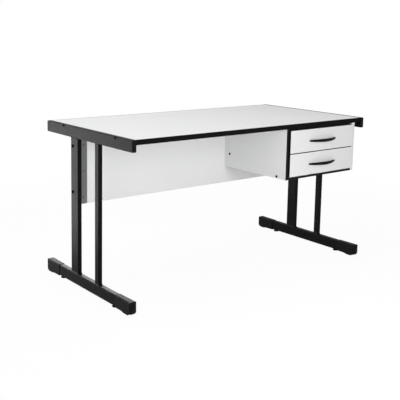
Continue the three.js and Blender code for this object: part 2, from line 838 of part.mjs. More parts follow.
const desk = new THREE.Group();
desk.position.y = deskShiftY;
desk.add(legFrame("left", -1));
desk.add(legFrame("right", 1));
desk.add(worktop());
desk.add(modestyPanel());
desk.add(pedestal());
levelNames.forEach((name, level) => desk.add(drawer(name, level)));

export default desk;
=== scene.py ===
import json
import math
from collections import namedtuple

import bpy
from mathutils import Matrix, Vector


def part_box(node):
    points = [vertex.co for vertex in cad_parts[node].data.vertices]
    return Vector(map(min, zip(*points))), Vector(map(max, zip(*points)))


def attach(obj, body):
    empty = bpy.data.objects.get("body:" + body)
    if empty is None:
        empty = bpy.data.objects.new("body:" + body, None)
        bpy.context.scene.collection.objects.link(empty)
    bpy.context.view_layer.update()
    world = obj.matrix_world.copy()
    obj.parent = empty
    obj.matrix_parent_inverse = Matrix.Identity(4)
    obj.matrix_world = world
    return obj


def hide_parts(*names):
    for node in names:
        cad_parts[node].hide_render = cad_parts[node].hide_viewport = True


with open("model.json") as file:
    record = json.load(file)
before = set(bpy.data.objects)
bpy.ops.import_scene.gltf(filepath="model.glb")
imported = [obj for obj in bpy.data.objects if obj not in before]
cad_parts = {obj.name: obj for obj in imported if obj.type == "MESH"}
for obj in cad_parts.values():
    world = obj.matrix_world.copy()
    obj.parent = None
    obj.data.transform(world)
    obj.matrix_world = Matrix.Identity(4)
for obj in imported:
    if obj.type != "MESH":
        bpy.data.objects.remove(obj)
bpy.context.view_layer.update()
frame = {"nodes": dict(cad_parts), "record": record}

MM = 0.001
SEAM = 0.3 * MM  # how far apart pieces lie that seat on each other
SIDES = (("left", -1), ("right", 1))
ENDS = ("front", "rear")
LEVELS = ("lower", "upper")


def middle(node):
    """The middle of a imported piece."""
    low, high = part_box(node)
    return (low + high) / 2


def face(node, direction):
    """How far across the desk a piece's left (-1) or right (1) face lies."""
    low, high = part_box(node)
    return high.x if direction > 0 else low.x


# ------------------------------------------------------------------ camera and lamps

def lens_and_place():
    """The camera stands in front of the desk, to the left of it, at chest height."""
    data = bpy.data.cameras.new("camera")
    data.sensor_width = 36
    data.lens = 66.6333
    data.shift_x = 0.0675
    data.shift_y = -0.175
    camera = bpy.data.objects.new("camera", data)
    camera.location = (-2.2968, -2.69655, 1.17117)
    turn = Matrix.Rotation(math.radians(-37.296), 4, "Z")
    tilt = Matrix.Rotation(math.radians(81.839), 4, "X")
    roll = Matrix.Rotation(math.radians(0.854), 4, "Z")
    camera.rotation_euler = (turn @ tilt @ roll).to_euler()
    bpy.context.scene.collection.objects.link(camera)
    bpy.context.scene.camera = camera


def soft_box(name, place, aim, size, watts, gives):
    """A lamp box of a width and height in metres.

    gives is shade for a box that lights without being reflected, or sheen for one that is only
    reflected.
    """
    lamp = bpy.data.lights.new(name, "AREA")
    lamp.shape = "RECTANGLE"
    lamp.size, lamp.size_y = size
    lamp.energy = watts
    holder = bpy.data.objects.new(name, lamp)
    holder.location = place
    holder.rotation_euler = (Vector(aim) - Vector(place)).to_track_quat("-Z", "Y").to_euler()
    holder.visible_camera = False
    holder.visible_diffuse = gives == "shade"
    holder.visible_glossy = gives == "sheen"
    bpy.context.scene.collection.objects.link(holder)


# ------------------------------------------------------------------ shader arithmetic

class Value:
    """A number, colour or shader on a socket. Arithmetic on a number adds Math nodes."""

    def __init__(self, nodes, socket):
        self.nodes = nodes
        self.socket = socket

    def _math(self, operation, *terms):
        return self.nodes.node("Math", {"operation": operation}, terms)

    def __add__(self, other):
        return self._math("ADD", self, other)

    def __radd__(self, other):
        return self._math("ADD", other, self)

    def __sub__(self, other):
        return self._math("SUBTRACT", self, other)

    def __rsub__(self, other):
        return self._math("SUBTRACT", other, self)

    def __mul__(self, other):
        return self._math("MULTIPLY", self, other)

    def __rmul__(self, other):
        return self._math("MULTIPLY", other, self)

    def __gt__(self, other):
        return self._math("GREATER_THAN", self, other)

    def __lt__(self, other):
        return self._math("LESS_THAN", self, other)

    def at_most(self, other):
        return self._math("MINIMUM", self, other)

    def rising(self, low, high):
        """0 below low, 1 above high and smooth between them."""
        settings = {"interpolation_type": "SMOOTHSTEP"}
        return self.nodes.node("MapRange", settings, {"Value": self, "From Min": low, "From Max": high})


class Nodes:
    """The shader nodes of a material or of the world."""

    def __init__(self, tree):
        self.tree = tree
        self.tree.nodes.clear()

    def add(self, kind, settings=None, sockets=()):
        """Adds a node, sets it, then fills or links its sockets."""
        made = self.tree.nodes.new("ShaderNode" + kind)
        for name, value in (settings or {}).items():
            setattr(made, name, value)
        items = sockets.items() if isinstance(sockets, dict) else enumerate(sockets)
        for key, value in items:
            self.feed(made.inputs[key], value)
        return made

    def node(self, kind, settings=None, sockets=(), output=0):
        """Adds a node as add does and returns one of its outputs."""
        return Value(self, self.add(kind, settings, sockets).outputs[output])

    def feed(self, socket, value):
        """Links a socket to a Value, or sets it to a number, a vector or a colour without alpha."""
        if isinstance(value, Value):
            self.tree.links.new(value.socket, socket)
        elif isinstance(value, (int, float)):
            socket.default_value = value
        else:
            socket.default_value = (*value, 1) if len(socket.default_value) == 4 else value


class Finish(Nodes):
    """One surface finish: a principled shader and the nodes that vary it over the surface."""

    def __init__(self, name, **shader_values):
        self.material = bpy.data.materials.new(name)
        self.material.use_nodes = True
        super().__init__(self.material.node_tree)
        self.shader = self.add("BsdfPrincipled")
        self.set(**shader_values)
        self.output = self.add("OutputMaterial", None, {"Surface": Value(self, self.shader.outputs[0])})

    def set(self, **sockets):
        for name, value in sockets.items():
            self.feed(self.shader.inputs[name.replace("_", " ")], value)

    def place(self):
        """The point on the surface in the desk's own frame, in metres."""
        return self.node("TexCoord", output="Object")

    def axes(self, place):
        separate = self.add("SeparateXYZ", None, [place])
        return [Value(self, output) for output in separate.outputs]

    def noise(self, place, size, detail=2, roughness=0.5, stretch=None):
        """Cloudy noise whose features are about size metres across."""
        if stretch:
            place = self.node("VectorMath", {"operation": "MULTIPLY"}, [place, stretch])
        sockets = {"Vector": place, "Scale": 1 / size, "Detail": detail, "Roughness": roughness}
        return self.node("TexNoise", {"noise_dimensions": "3D"}, sockets, "Fac")

    def specks(self, place, size):
        """Distance to the nearest of many points about size metres apart."""
        return self.node("TexVoronoi", {"feature": "F1"}, {"Vector": place, "Scale": 1 / size}, "Distance")

    def _mix(self, way, share, first, second):
        """A Mix node for colours: its share is socket 0, its colours are 6 and 7, its result is 2."""
        settings = {"data_type": "RGBA", "blend_type": way}
        return self.node("Mix", settings, {0: share, 6: first, 7: second}, 2)

    def blend(self, first, second, share):
        """Colour first where share is 0, second where it is 1."""
        return self._mix("MIX", share, first, second)

    def shade(self, colour, amount):
        """The colour made darker or lighter by a number about 1."""
        grey = self.node("CombineColor", {"mode": "RGB"}, [amount, amount, amount])
        return self._mix("MULTIPLY", 1.0, colour, grey)

    def relief(self, height, depth):
        """Bumps the surface by a height whose range of 1 stands for depth in metres."""
        bump = self.node("Bump", None, {"Strength": 1.0, "Distance": depth, "Height": height})
        self.set(Normal=bump)


# ------------------------------------------------------------------ finishes

BAND_BLACK = (0.004, 0.004, 0.0042)


def laminate_finish(black_strip_from):
    """Worktop: pale grey laminate with a fine pearl texture, a little smoother where arms rest.

    Its one argument is the place in depth from which the top is black, a dark line along its back edge.
    """
    finish = Finish("laminate", Roughness=0.5, Specular_IOR_Level=0.25)
    place = finish.place()
    _, depth, _ = finish.axes(place)
    cloud = finish.noise(place, 210 * MM, 3)
    fleck = finish.noise(place, 1.6 * MM, 2, 0.6)
    wipe = finish.noise(place, 60 * MM, 2, 0.5, (1, 3.5, 1))
    colour = finish.blend((0.80, 0.805, 0.80), (0.765, 0.772, 0.77), cloud)
    colour = finish.shade(colour, 0.985 + 0.03 * fleck)
    # the top is black behind the given place in depth, a dark line along its back edge
    finish.set(Base_Color=finish.blend(colour, BAND_BLACK, depth > black_strip_from))
    under_arms = 1 - depth.rising(-320 * MM, -50 * MM)
    finish.set(Roughness=0.46 + 0.10 * wipe - 0.05 * under_arms)
    pearl = finish.noise(place, 0.9 * MM, 1)
    finish.relief(pearl + 0.6 * finish.noise(place, 3 * MM, 1), 0.03 * MM)
    return finish.material


def melamine_finish(name="melamine", banded=None):
    """Board faced in pale grey melamine.

    banded takes the place in depth and gives 1 where the board's black edge band shows.
    """
    finish = Finish(name, Roughness=0.46, Specular_IOR_Level=0.12 if banded else 0.3)
    place = finish.place()
    cloud = finish.noise(place, 150 * MM, 2)
    fleck = finish.noise(place, 1.8 * MM, 2, 0.6)
    colour = finish.blend((0.80, 0.80, 0.805), (0.765, 0.768, 0.775), cloud)
    colour = finish.shade(colour, 0.985 + 0.03 * fleck)
    rough = 0.42 + 0.09 * finish.noise(place, 50 * MM, 2)
    if banded:
        _, depth, _ = finish.axes(place)
        band = banded(depth)
        colour = finish.blend(colour, BAND_BLACK, band)
        rough = rough + 0.05 * band
    finish.set(Base_Color=colour, Roughness=rough)
    finish.relief(finish.noise(place, 1 * MM, 1), 0.03 * MM)
    return finish.material


def front_banded_finish(name, board):
    """Melamine with a black band on the front edge of a board."""
    band_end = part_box(board)[0].y + 0.8 * MM
    return melamine_finish(name, lambda depth: depth < band_end)


def edge_banded_finish(name, front):
    """Melamine with a black band round the four narrow edges of a drawer front."""
    low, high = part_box(front)
    band_start = low.y + 0.5 * MM
    band_end = high.y - 0.3 * MM
    return melamine_finish(name, lambda depth: (depth > band_start) * (depth < band_end))


def edge_band_finish():
    """Black plastic band with the fine lines that its extrusion leaves along it."""
    finish = Finish("edge_band", Roughness=0.5, Specular_IOR_Level=0.012)
    place = finish.place()
    lines = finish.noise(place, 1.2 * MM, 2, 0.5, (0.02, 1, 1))
    grime = finish.noise(place, 50 * MM, 3)
    finish.set(Base_Color=finish.blend((0.0055, 0.0055, 0.0057), (0.011, 0.011, 0.0113), grime * lines))
    finish.set(Roughness=0.46 + 0.16 * lines)
    finish.relief(lines, 0.04 * MM)
    return finish.material


def powder_coat_finish():
    """Black powder coat: orange peel, a fine grain, dust, and pale scuffs low down on the legs."""
    finish = Finish("black_powder_coat", Roughness=0.4, Specular_IOR_Level=0.035)
    place = finish.place()
    _, _, height = finish.axes(place)
    peel = finish.noise(place, 2.8 * MM, 2, 0.45)
    grain = finish.noise(place, 0.7 * MM, 1)
    dust = finish.noise(place, 50 * MM, 4, 0.75)
    scuff = finish.noise(place, 9 * MM, 3, 0.7, (1, 0.25, 1)).rising(0.62, 0.72)
    low = 1 - height.rising(40 * MM, 220 * MM)
    worn = scuff * low
    colour = finish.blend((0.0045, 0.0045, 0.0047), (0.0080, 0.0080, 0.0083), dust)
    colour = finish.blend(colour, (0.02, 0.02, 0.02), 0.5 * worn)
    finish.set(Base_Color=finish.shade(colour, 0.55 + 0.9 * peel))
    finish.set(Roughness=0.27 + 0.20 * dust + 0.05 * grain + 0.12 * worn)
    finish.relief(peel + 0.35 * grain, 0.06 * MM)
    return finish.material


def moulded_finish(name, rough, grain_size):
    """Black moulded plastic with a spark eroded grain, rubbed unevenly."""
    finish = Finish(name, Roughness=rough, Specular_IOR_Level=0.04)
    place = finish.place()
    spark = finish.noise(place, grain_size, 2, 0.6)
    rubbed = finish.noise(place, 20 * MM, 3, 0.6)
    colour = finish.blend((0.0045, 0.0045, 0.0046), (0.0095, 0.0095, 0.0095), rubbed)
    finish.set(Base_Color=finish.shade(colour, 0.6 + 0.8 * spark))
    finish.set(Roughness=rough - 0.07 + 0.14 * rubbed)
    finish.relief(spark, 0.07 * MM)
    return finish.material


def plated_finish():
    """Zinc plated sheet: grey metal with a faint spangle and soft streaks."""
    finish = Finish("zinc_plate", Roughness=0.45, Metallic=0.6)
    place = finish.place()
    spangle = finish.specks(place, 6 * MM)
    streak = finish.noise(place, 12 * MM, 3, 0.5, (1, 1, 0.08))
    finish.set(Base_Color=finish.blend((0.13, 0.132, 0.135), (0.20, 0.202, 0.206), streak))
    finish.set(Roughness=0.36 + 0.22 * spangle)
    finish.relief(streak, 0.03 * MM)
    return finish.material


def tray_finish():
    """Tray boards wrapped in pale foil with a faint wood pore along their length."""
    finish = Finish("tray_foil", Roughness=0.5, Specular_IOR_Level=0.4)
    place = finish.place()
    pore = finish.noise(place, 1.6 * MM, 3, 0.6, (1, 0.06, 1))
    finish.set(Base_Color=finish.blend((0.70, 0.70, 0.685), (0.63, 0.63, 0.61), pore.rising(0.45, 0.75)))
    finish.set(Roughness=0.44 + 0.14 * pore)
    finish.relief(pore, 0.05 * MM)
    return finish.material


def hardboard_finish():
    """Painted hardboard with its fine fibres showing through the paint."""
    finish = Finish("painted_hardboard", Roughness=0.6, Specular_IOR_Level=0.35)
    place = finish.place()
    fibre = finish.noise(place, 4 * MM, 4, 0.7)
    finish.set(Base_Color=finish.blend((0.66, 0.65, 0.61), (0.56, 0.55, 0.51), fibre.rising(0.4, 0.8)))
    finish.set(Roughness=0.55 + 0.2 * fibre)
    finish.relief(fibre, 0.06 * MM)
    return finish.material


def epoxy_finish():
    """Cream epoxy on the runners, rubbed along the way the drawers slide."""
    finish = Finish("cream_epoxy", Roughness=0.35, Specular_IOR_Level=0.5)
    place = finish.place()
    rub = finish.noise(place, 3 * MM, 3, 0.6, (1, 0.05, 1)).rising(0.55, 0.75)
    finish.set(Base_Color=finish.blend((0.74, 0.73, 0.68), (0.52, 0.51, 0.48), 0.5 * rub))
    finish.set(Roughness=0.28 + 0.3 * rub)
    finish.relief(finish.noise(place, 1.2 * MM, 2), 0.04 * MM)
    return finish.material


def nylon_finish():
    """Natural nylon of the rollers and corner blocks, finely rough and smudged with grease."""
    scatter = (2 * MM, 2 * MM, 1.5 * MM)
    finish = Finish("nylon", Roughness=0.38, Subsurface_Weight=0.08, Subsurface_Radius=scatter)
    place = finish.place()
    smudge = finish.noise(place, 4 * MM, 3, 0.6)
    finish.set(Base_Color=finish.blend((0.80, 0.79, 0.74), (0.55, 0.54, 0.50), smudge.rising(0.5, 0.85)))
    finish.set(Roughness=0.3 + 0.25 * smudge)
    finish.relief(finish.noise(place, 0.9 * MM, 2), 0.03 * MM)
    return finish.material


def screw_finish(name, light, dark, metallic):
    """Small fasteners, plated or blackened, worn in fine patches."""
    finish = Finish(name, Roughness=0.4, Metallic=metallic, Specular_IOR_Level=0.5 if metallic else 0.0)
    place = finish.place()
    wear = finish.noise(place, 1.8 * MM, 3, 0.6)
    finish.set(Base_Color=finish.blend(dark, light, wear.rising(0.35, 0.7)))
    finish.set(Roughness=0.3 + 0.3 * wear)
    finish.relief(wear, 0.05 * MM)
    return finish.material


# ------------------------------------------------------------------ floor and world

def seen(nodes):
    """1 for rays that show the background: from the camera, off metal or through glass."""
    path = nodes.add("LightPath")
    names = ("Is Camera Ray", "Is Glossy Ray", "Is Transmission Ray")
    straight, off_metal, through_glass = [Value(nodes, path.outputs[name]) for name in names]
    return (straight + off_metal + through_glass).at_most(1.0)


def white_world(strength):
    """White where it is seen, and of the given strength as a light."""
    world = bpy.data.worlds.new("studio")
    world.use_nodes = True
    bpy.context.scene.world = world
    nodes = Nodes(world.node_tree)
    sockets = {"Color": (1, 1, 1), "Strength": strength + (1 - strength) * seen(nodes)}
    nodes.add("OutputWorld", None, {"Surface": nodes.node("Background", None, sockets)})


def floor_finish():
    """Pale grey that is shown almost white, and quite white away from the desk."""
    finish = Finish("pale_floor", Base_Color=(0.9, 0.9, 0.9), Roughness=0.9, Specular_IOR_Level=0.0)
    x, y, _ = finish.axes(finish.place())
    distance_squared = x * x + y * y
    share = seen(finish) * (0.95 + 0.05 * distance_squared.rising(0.6, 9.0))
    lit = Value(finish, finish.shader.outputs[0])
    glow = finish.node("Emission", None, {"Color": (1, 1, 1), "Strength": 1.0})
    finish.feed(finish.output.inputs["Surface"], finish.node("MixShader", None, [share, lit, glow]))
    return finish.material


def pale_floor():
    """A floor that keeps the desk's soft shadow."""
    reach = 60.0
    corners = [(-reach, -reach, 0), (reach, -reach, 0), (reach, reach, 0), (-reach, reach, 0)]
    mesh = bpy.data.meshes.new("floor")
    mesh.from_pydata(corners, [], [(0, 1, 2, 3)])
    mesh.materials.append(floor_finish())
    floor = bpy.data.objects.new("floor", mesh)
    bpy.context.scene.collection.objects.link(floor)


# ------------------------------------------------------------------ shapes built from rings

class Shape:
    """Vertices and faces of one piece, added ring by ring."""

    def __init__(self):
        self.vertices = []
        self.faces = []

    def rings(self, rings, looped=False):
        """Skins rings of points. Open ends are capped, or the last ring joins the first."""
        start = len(self.vertices)
        count = len(rings[0])
        for ring in rings:
            self.vertices.extend(ring)
        spans = len(rings) if looped else len(rings) - 1
        for span in range(spans):
            low = start + span * count
            high = start + ((span + 1) % len(rings)) * count
            for i in range(count):
                j = (i + 1) % count
                self.faces.append((low + i, low + j, high + j, high + i))
        if not looped:
            last = start + (len(rings) - 1) * count
            self.faces.append(tuple(start + i for i in reversed(range(count))))
            self.faces.append(tuple(last + i for i in range(count)))

    def piece(self, name, material, body, slot, smooth=38, bevel=None):
        """Makes the piece. Faces that meet within smooth degrees blend, and bevel eases the edges."""
        mesh = bpy.data.meshes.new(name)
        mesh.from_pydata([tuple(v) for v in self.vertices], [], self.faces)
        mesh.update()
        mesh.polygons.foreach_set("use_smooth", [True] * len(mesh.polygons))
        mesh.set_sharp_from_angle(angle=math.radians(smooth))
        mesh.materials.append(material)
        made = bpy.data.objects.new(name, mesh)
        bpy.context.scene.collection.objects.link(made)
        if bevel:
            ease_edges(made, bevel)
        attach(made, body)
        return made


def ease_edges(piece, width):
    """Takes the sharpness off a piece's edges, as a real edge catches a thin line of light."""
    weld = piece.modifiers.new("weld", "WELD")
    weld.merge_threshold = 0.01 * MM
    bevel = piece.modifiers.new("eased edges", "BEVEL")
    bevel.width = width
    bevel.segments = 2
    bevel.limit_method = "ANGLE"
    bevel.angle_limit = math.radians(35)
    normals = piece.modifiers.new("flat faces", "WEIGHTED_NORMAL")
    normals.keep_sharp = False


def hexagon(reach):
    """Radius of a hexagon in a direction. reach is from its middle to a flat."""
    return lambda turn: reach / math.cos((turn + math.pi / 6) % (math.pi / 3) - math.pi / 6)


def cross(length, half_width):
    """Radius of a cross recess in a direction."""
    def radius(turn):
        folded = (turn + math.pi / 4) % (math.pi / 2) - math.pi / 4
        along = length / math.cos(folded)
        return along if abs(math.sin(folded)) < 1e-6 else min(along, half_width / abs(math.sin(folded)))
    return radius


def round_section(radius):
    """The same radius in every direction."""
    return lambda turn: radius


# a screw head; recess gives the outline of its recess as hexagon or cross does
Head = namedtuple("Head", "radius height recess depth")


class Turned:
    """Builds round parts on an axis that starts at a seat: screw heads, threads, nuts and washers."""

    POINTS_ROUND = 24

    def __init__(self, shape, seat, axis):
        self.shape = shape
        self.seat = Vector(seat)
        self.turn = Vector(axis).to_track_quat("Z", "Y")

    def ring(self, section, height):
        """Points round the axis at a height. section gives their radius in a direction."""
        points = []
        for i in range(self.POINTS_ROUND):
            turn = 2 * math.pi * i / self.POINTS_ROUND
            reach = section(turn)
            local = Vector((reach * math.cos(turn), reach * math.sin(turn), height))
            points.append(self.seat + self.turn @ local)
        return points

    def stack(self, levels, looped=False):
        """Skins levels, each a section and its height."""
        self.shape.rings([self.ring(section, height) for section, height in levels], looped)

    def screw_head(self, head):
        """A low domed head with its recess cut in."""
        dome = [(1.0, 0.0), (1.0, 0.3), (0.95, 0.6), (0.82, 0.84), (0.66, 0.97)]
        levels = [(round_section(head.radius * r), head.height * h) for r, h in dome]
        bottom = head.height - head.depth
        levels += [(head.recess, head.height), (head.recess, bottom)]
        levels.append((lambda turn: 0.35 * head.recess(turn), bottom - 0.1 * MM))
        self.stack(levels)

    def nut(self, flats, height, bore):
        """A hexagon nut. flats is its width across the flats, bore the radius of its hole."""
        corner = round_section(flats / 2)
        hexed = hexagon(flats / 2)
        ease = 0.12 * height
        levels = [(round_section(bore), 0), (corner, 0), (hexed, ease)]
        levels += [(hexed, height - ease), (corner, height), (round_section(bore), height)]
        self.stack(levels, looped=True)

    def washer(self, radius, thick, bore):
        """A flat washer with an eased rim. bore is the radius of its hole."""
        rim = 0.25 * thick
        levels = [(round_section(bore), 0), (round_section(radius - rim), 0), (round_section(radius), rim)]
        levels += [(round_section(radius), thick - rim), (round_section(radius - rim), thick)]
        levels.append((round_section(bore), thick))
        self.stack(levels, looped=True)

    def thread(self, radius, start, end):
        """A threaded length whose ridge climbs round it."""
        pitch = 1.0 * MM
        rings_a_pitch = 6
        steps = int((end - start) / pitch * rings_a_pitch)
        levels = []
        for step in range(steps + 1):
            height = start + (end - start) * step / steps
            levels.append((self._ridge(radius, height / pitch), height))
        self.stack(levels)

    def _ridge(self, radius, climb):
        """The thread's section where its ridge has climbed by so many pitches."""
        depth = 0.5 * MM

        def section(turn):
            phase = (climb - turn / (2 * math.pi)) % 1
            return radius - depth * abs(2 * phase - 1)
        return section


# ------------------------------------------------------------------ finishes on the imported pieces

dull = screw_finish("dull_zinc_screw", (0.16, 0.16, 0.165), (0.09, 0.09, 0.093), 0.6)
blackened = screw_finish("blackened_screw", (0.012, 0.012, 0.012), (0.003, 0.003, 0.003), 0.0)
bright = screw_finish("zinc_screw", (0.55, 0.55, 0.56), (0.25, 0.25, 0.25), 0.9)
# how far in from its back edge the worktop's top is black
back_black_strip = 3.5 * MM
by_slot = {
    "laminate": laminate_finish(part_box("worktop_board")[1].y - back_black_strip),
    "edge_band": edge_band_finish(),
    "black_steel": powder_coat_finish(),
    "black_plastic": moulded_finish("black_plastic", 0.48, 1.1 * MM),
    "melamine": melamine_finish(),
    "zinc": plated_finish(),
    "tray_board": tray_finish(),
    "hardboard": hardboard_finish(),
    "runner_steel": epoxy_finish(),
    "nylon": nylon_finish(),
}
pedestal_board = front_banded_finish("melamine_black_front", "pedestal_left_side")
drawer_front_board = edge_banded_finish("melamine_black_edges", "upper_drawer_front")
handle_plastic = moulded_finish("handle_plastic", 0.42, 0.9 * MM)
by_node = {
    "pedestal_left_side": pedestal_board,
    "pedestal_floor": pedestal_board,
    "pedestal_front_stretcher": front_banded_finish("melamine_black_stretcher", "pedestal_front_stretcher"),
    "lower_drawer_front": drawer_front_board,
    "upper_drawer_front": drawer_front_board,
    "lower_drawer_handle": handle_plastic,
    "upper_drawer_handle": handle_plastic,
}
eased = {
    "laminate": 0.5 * MM,
    "edge_band": 0.4 * MM,
    "melamine": 0.6 * MM,
    "tray_board": 0.5 * MM,
    "hardboard": 0.25 * MM,
    "runner_steel": 0.25 * MM,
    "zinc": 0.3 * MM,
    "nylon": 0.2 * MM,
}

for part in frame["record"]["subparts"]:
    name, slot = part["node"], part["material_slot"]
    node = frame["nodes"][name]
    node.data.materials.clear()
    node.data.materials.append(by_node.get(name, by_slot[slot]))
    if slot in eased:
        ease_edges(node, eased[slot])


# ------------------------------------------------------------------ welds of the side frames

COLUMN_CORNER = 2.5 * MM
BEAD_STEP = 0.7 * MM
RIPPLE_LENGTH = 2.8 * MM


def rounded_loop(half_x, half_y, corner, step):
    """Points and outward directions round a tube's outline, evenly spaced."""
    loop = []
    legs = [(1, 1, 0), (-1, 1, 90), (-1, -1, 180), (1, -1, 270)]
    for i, (sign_x, sign_y, turn) in enumerate(legs):
        centre = Vector((sign_x * (half_x - corner), sign_y * (half_y - corner)))
        arc = max(4, round(corner * math.pi / 2 / step))
        for k in range(arc + 1):
            angle = math.radians(turn + 90 * k / arc)
            out = Vector((math.cos(angle), math.sin(angle)))
            loop.append((centre + corner * out, out))
        next_x, next_y, _ = legs[(i + 1) % 4]
        target = Vector((next_x * (half_x - corner), next_y * (half_y - corner)))
        first, last = centre + corner * out, target + corner * out
        count = max(2, round((last - first).length / step))
        for k in range(1, count):
            loop.append((first.lerp(last, k / count), out))
    return loop


def weld_bead(name, column, level, up, spread_x, spread_y, rise):
    """A rippled fillet weld round the end of a column.

    It starts at a level, where it spreads out from the column by spread_x and spread_y, and
    climbs along the column by rise, upwards (1) or downwards (-1).
    """
    low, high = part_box(column)
    centre = (low + high) / 2
    loop = rounded_loop((high.x - low.x) / 2, (high.y - low.y) / 2, COLUMN_CORNER, BEAD_STEP)
    # shares of the spread and the rise; a bead that points down runs the other way round, so
    # that its faces look outward too
    bead = [(0.0, 1.0), (0.26, 0.66), (0.56, 0.33), (1.0, 0.0), (0.0, 0.0)][::up]
    rings = []
    for i, (point, out) in enumerate(loop):
        even = math.sin(2 * math.pi * i * BEAD_STEP / RIPPLE_LENGTH)
        uneven = math.sin(0.37 * i)
        ripple = 1 + 0.06 * even + 0.03 * uneven
        spread = (spread_x * out.x ** 2 + spread_y * out.y ** 2) * ripple
        ring = []
        for away, height in bead:
            spot = point + out * spread * away
            ring.append(Vector((centre.x + spot.x, centre.y + spot.y, level + up * rise * height * ripple)))
        rings.append(ring)
    shape = Shape()
    shape.rings(rings, looped=True)
    shape.piece(name, by_slot["black_steel"], "desk_frame", "black_steel", smooth=60)


for side, _ in SIDES:
    bar_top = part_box(f"{side}_foot_bar")[1].z
    rail_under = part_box(f"{side}_top_rail")[0].z
    for end in ENDS:
        column = f"{side}_{end}_column"
        weld_bead(f"{side}_{end}_foot_weld", column, bar_top, 1, 2.2 * MM, 5 * MM, 4 * MM)
        weld_bead(f"{side}_{end}_rail_weld", column, rail_under, -1, 0.25 * MM, 3.5 * MM, 3.5 * MM)


# ------------------------------------------------------------------ strips between pedestal and panel

def closing_strip(side):
    """A strip of board from the back edge of a pedestal side to the modesty panel."""
    low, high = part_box(f"pedestal_{side}_side")
    start = high.y + SEAM
    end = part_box("modesty_panel")[0].y - SEAM
    plan = [(low.x, start), (high.x, start), (high.x, end), (low.x, end)]
    shape = Shape()
    shape.rings([[Vector((x, y, z)) for x, y in plan] for z in (low.z, high.z)])
    name = f"pedestal_{side}_strip"
    shape.piece(name, by_slot["melamine"], "desk_frame", "melamine", bevel=eased["melamine"])


for side, _ in SIDES:
    closing_strip(side)


# ------------------------------------------------------------------ screws, bolts and nuts

BRACKET_SHEET = 2 * MM
BOLT_RADIUS = 3 * MM
THREAD_START = 0.6 * MM
THREAD_END = 16 * MM
WASHER_THICK = 1 * MM


def screws(name, seats, axis, head, material, body, slot):
    """One piece of equal screw heads that all look along an axis."""
    shape = Shape()
    for seat in seats:
        Turned(shape, seat, axis).screw_head(head)
    shape.piece(name, material, body, slot)


def rail_screws(side, sign):
    """The two socket screws near the upper edge of a rail that hold the worktop."""
    low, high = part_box(f"{side}_top_rail")
    from_front = 117 * MM
    from_rear = 150 * MM
    below_top = 5.5 * MM
    outer = face(f"{side}_top_rail", sign)
    seats = [(outer, y, high.z - below_top) for y in (low.y + from_front, high.y - from_rear)]
    head = Head(5.4 * MM, 3.0 * MM, hexagon(2.2 * MM), 2.2 * MM)
    screws(f"{side}_rail_screws", seats, (sign, 0, 0), head, blackened, "desk_frame", "black_steel")


def panel_bolt(side, sign, level):
    """The socket bolt through a rear column and the panel's bracket, in place of a plain one."""
    node = f"{side}_{level}_panel_bolt"
    centre = middle(node)
    head_seat = face(f"{side}_rear_column", sign) + sign * SEAM
    tail = face(node, -sign)
    shape = Shape()
    bolt = Turned(shape, (head_seat, centre.y, centre.z), (sign, 0, 0))
    bolt.screw_head(Head(7 * MM, abs(face(node, sign) - head_seat), hexagon(2 * MM), 1.8 * MM))
    shank = Turned(shape, (tail, centre.y, centre.z), (sign, 0, 0))
    shank.thread(BOLT_RADIUS, THREAD_START, THREAD_END)
    plain = round_section(BOLT_RADIUS)
    shank.stack([(plain, THREAD_END), (plain, abs(head_seat - tail))])
    made = shape.piece(f"{side}_{level}_socket_bolt", blackened, "desk_frame", "black_plastic")
    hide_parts(node)


def panel_nut(side, sign, level):
    """The washer on the bracket's inner face and the nut on the washer."""
    centre = middle(f"{side}_{level}_panel_bolt")
    inner = face(f"{side}_panel_bracket", sign) - sign * BRACKET_SHEET
    shape = Shape()
    washer = Turned(shape, (inner, centre.y, centre.z), (-sign, 0, 0))
    washer.washer(6 * MM, WASHER_THICK, 3.2 * MM)
    nut = Turned(shape, (inner - sign * WASHER_THICK, centre.y, centre.z), (-sign, 0, 0))
    nut.nut(10 * MM, 5 * MM, 3.05 * MM)
    shape.piece(f"{side}_{level}_nut_and_washer", bright, "desk_frame", "zinc", smooth=25)


def bracket_screws(side):
    """Three screws through a bracket into the panel."""
    low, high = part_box(f"{side}_panel_bracket")
    across = middle(f"{side}_panel_bracket").x
    seats = [(across, low.y, low.z + share * (high.z - low.z)) for share in (0.1, 0.5, 0.9)]
    head = Head(4 * MM, 1.8 * MM, cross(2.2 * MM, 0.6 * MM), 1.2 * MM)
    screws(f"{side}_bracket_screws", seats, (0, -1, 0), head, dull, "desk_frame", "zinc")


def pedestal_screws(side, sign):
    """One screw through a pedestal side into the back board, and one into the floor board."""
    outer = face(f"pedestal_{side}_side", sign)
    low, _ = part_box(f"pedestal_{side}_side")
    up_the_back = 68 * MM
    along_the_floor = 59 * MM
    above_floor_middle = 4 * MM
    seats = [
        (outer, middle("pedestal_back").y, low.z + up_the_back),
        (outer, low.y + along_the_floor, middle("pedestal_floor").z + above_floor_middle),
    ]
    head = Head(6.2 * MM, 1.8 * MM, hexagon(2.2 * MM), 1.4 * MM)
    screws(f"pedestal_{side}_screws", seats, (sign, 0, 0), head, blackened, "desk_frame", "black_plastic")


def stretcher_screws():
    """Three screws up through the front stretcher into the worktop."""
    low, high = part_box("pedestal_front_stretcher")
    depth = middle("pedestal_front_stretcher").y
    seats = [(low.x + share * (high.x - low.x), depth, low.z) for share in (0.16, 0.5, 0.84)]
    head = Head(4.2 * MM, 1.6 * MM, cross(2.3 * MM, 0.6 * MM), 1.1 * MM)
    screws("stretcher_screws", seats, (0, 0, -1), head, bright, "desk_frame", "zinc")


for side, sign in SIDES:
    rail_screws(side, sign)
for side, sign in SIDES:
    for level in LEVELS:
        panel_bolt(side, sign, level)
        panel_nut(side, sign, level)
    bracket_screws(side)
for side, sign in SIDES:
    pedestal_screws(side, sign)
stretcher_screws()


# ------------------------------------------------------------------ inside the drawers

